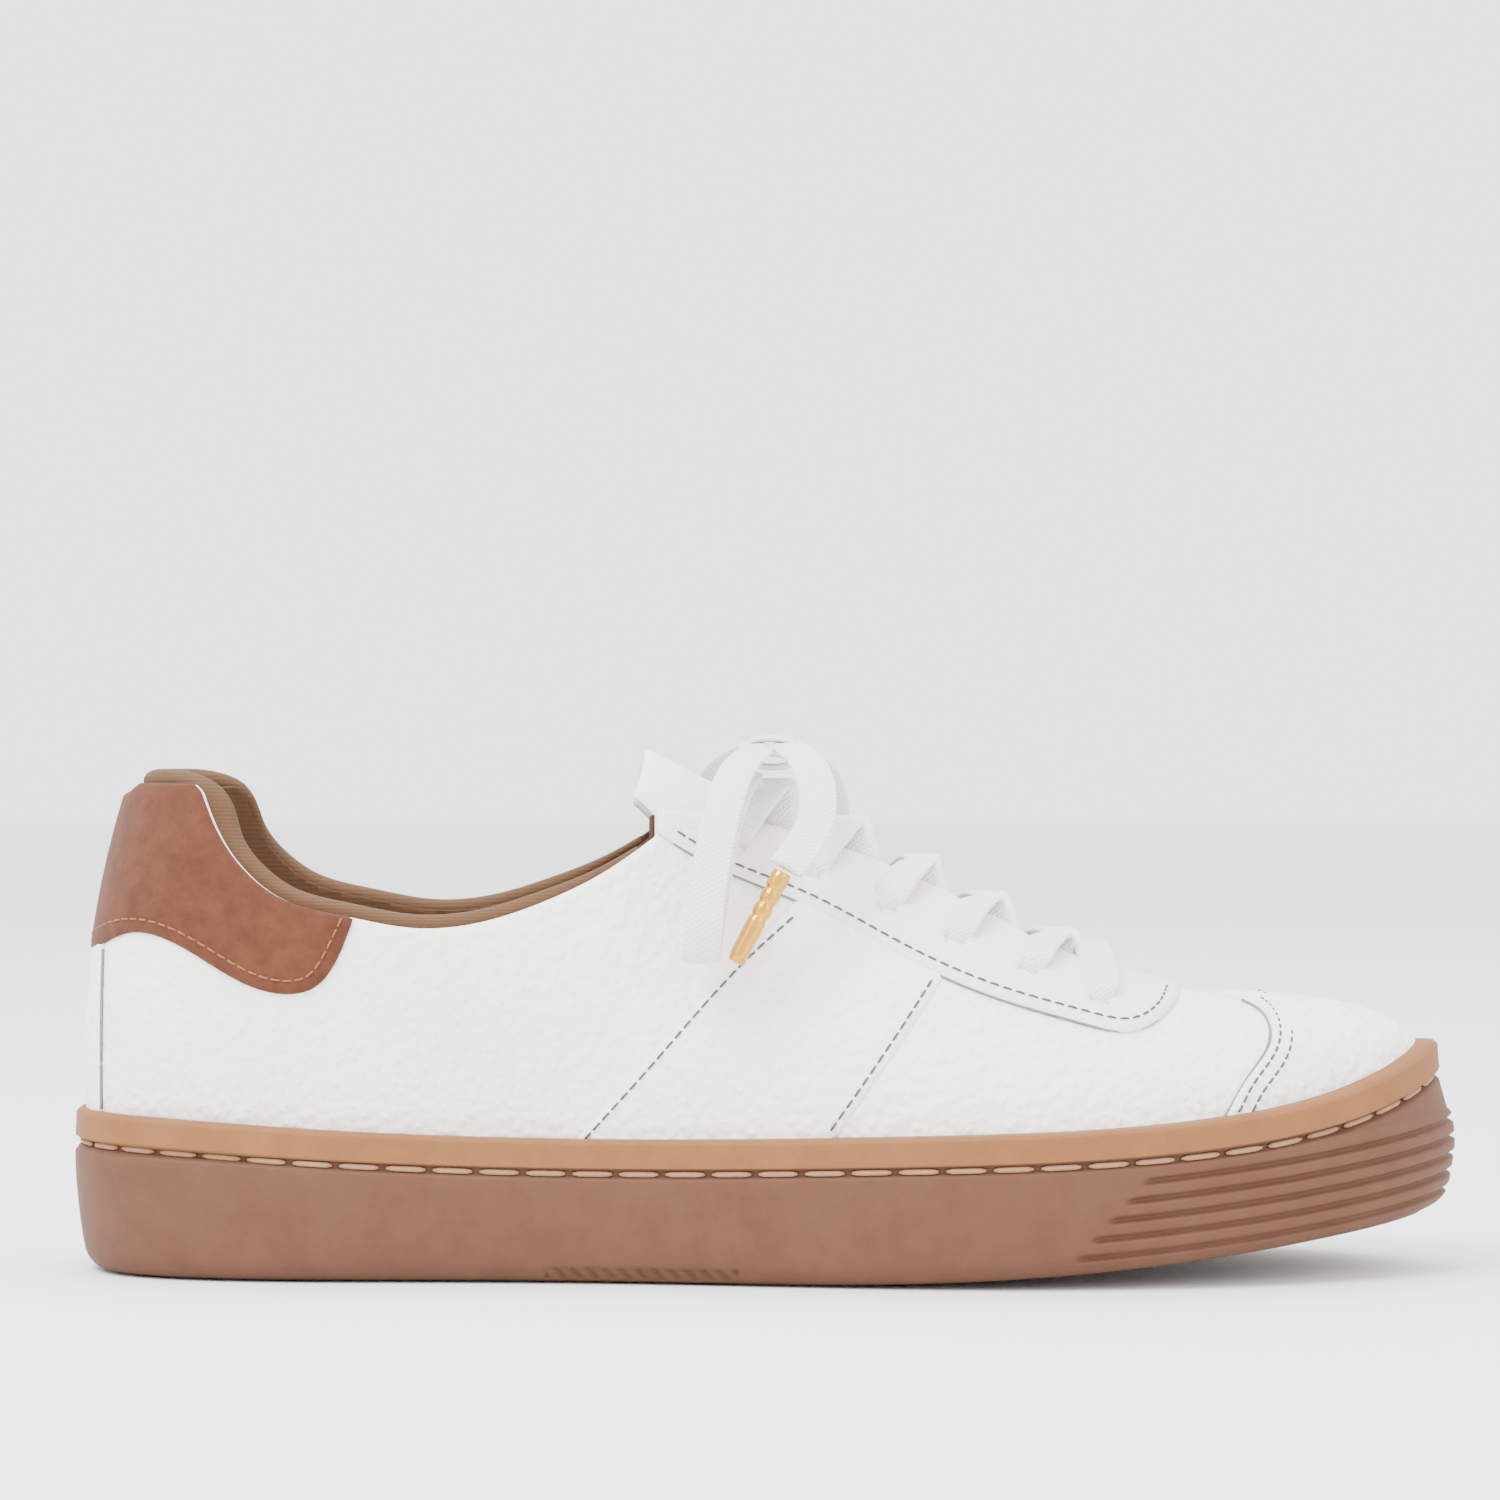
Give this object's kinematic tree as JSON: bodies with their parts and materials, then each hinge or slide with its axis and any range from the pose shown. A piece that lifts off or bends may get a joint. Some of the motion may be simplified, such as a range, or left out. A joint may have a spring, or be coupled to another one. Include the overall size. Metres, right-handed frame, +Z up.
{
  "type": "court shoe",
  "caption": "Low court shoe for the right foot: white leather upper with side stripe, brown heel patch, flat laces tied in a bow, and a gum rubber cupsole.",
  "frame": {"origin": "on the ground under the middle of the sole", "axes": "X from heel to toe, Y to the inner side, Z up"},
  "size_m": [0.2989, 0.1043, 0.1143],
  "materials": {
    "gum_rubber": "matte gum rubber with a fine speckle",
    "filler_foam": "closed-cell foam",
    "board": "fibre board",
    "footbed_knit": "brown textile over foam",
    "white_leather": "white tumbled leather",
    "smooth_leather": "warm white fine-grained leather",
    "brown_nubuck": "tan-brown nubuck",
    "knit_lining": "tan ribbed knit",
    "brown_lining": "brown textile",
    "tongue_suede": "cool grey-white suede",
    "white_lace": "white flat braid",
    "gold_metal": "polished gold-coloured metal"
  },
  "bodies": {
    "shoe": {"cupsole": "gum_rubber", "midsole_filler": "filler_foam", "strobel_board": "board", "quarter_lateral": "white_leather", "quarter_medial": "white_leather", "forefoot_panel_lateral": "white_leather", "forefoot_panel_medial": "white_leather", "stripe_lateral": "white_leather", "stripe_medial": "white_leather", "toe_piece": "white_leather", "back_strip": "white_leather", "eyestay": "smooth_leather", "heel_patch": "brown_nubuck", "toe_puff": "board", "heel_counter": "board", "collar_foam": "filler_foam", "collar_lining": "knit_lining", "quarter_lining_lateral": "brown_lining", "quarter_lining_medial": "brown_lining", "vamp_lining": "brown_lining", "lace_crossings": "white_lace", "lace_knot": "white_lace"},
    "footbed": {"footbed": "footbed_knit"},
    "tongue": {"tongue_outer": "tongue_suede", "tongue_foam": "filler_foam"},
    "bow_loop_lateral": {"bow_loop_lateral": "white_lace"},
    "bow_loop_medial": {"bow_loop_medial": "white_lace"},
    "lace_end_lateral": {"lace_end_lateral": "white_lace", "aglet_lateral": "gold_metal"},
    "lace_end_medial": {"lace_end_medial": "white_lace", "aglet_medial": "gold_metal"}
  },
  "joints": [
    {"name": "footbed_lift", "type": "hinge", "parent": "shoe", "child": "footbed", "pos_m": [0.13, 0, 0.028], "axis": [0, 1, 0], "range_deg": [0, 5]},
    {"name": "tongue_tilt", "type": "hinge", "parent": "shoe", "child": "tongue", "pos_m": [0.084, 0, 0.058], "axis": [0, -1, 0], "range_deg": [0, 5], "stiffness_Nm_per_rad": 0.3},
    {"name": "bow_loop_lateral_swing", "type": "hinge", "parent": "shoe", "child": "bow_loop_lateral", "pos_m": [-0.002, -0.0075, 0.11], "axis": [-1, 0, 0], "range_deg": [0, 40], "stiffness_Nm_per_rad": 0.004},
    {"name": "bow_loop_medial_swing", "type": "hinge", "parent": "shoe", "child": "bow_loop_medial", "pos_m": [-0.0035, 0.0075, 0.11], "axis": [1, 0, 0], "range_deg": [0, 40], "stiffness_Nm_per_rad": 0.004},
    {"name": "lace_end_lateral_swing", "type": "hinge", "parent": "shoe", "child": "lace_end_lateral", "pos_m": [0.0045, -0.0075, 0.1125], "axis": [-1, 0, 0], "range_deg": [0, 40], "stiffness_Nm_per_rad": 0.004},
    {"name": "lace_end_medial_swing", "type": "hinge", "parent": "shoe", "child": "lace_end_medial", "pos_m": [0.0045, 0.0075, 0.112], "axis": [1, 0, 0], "range_deg": [0, 40], "stiffness_Nm_per_rad": 0.004}
  ]
}
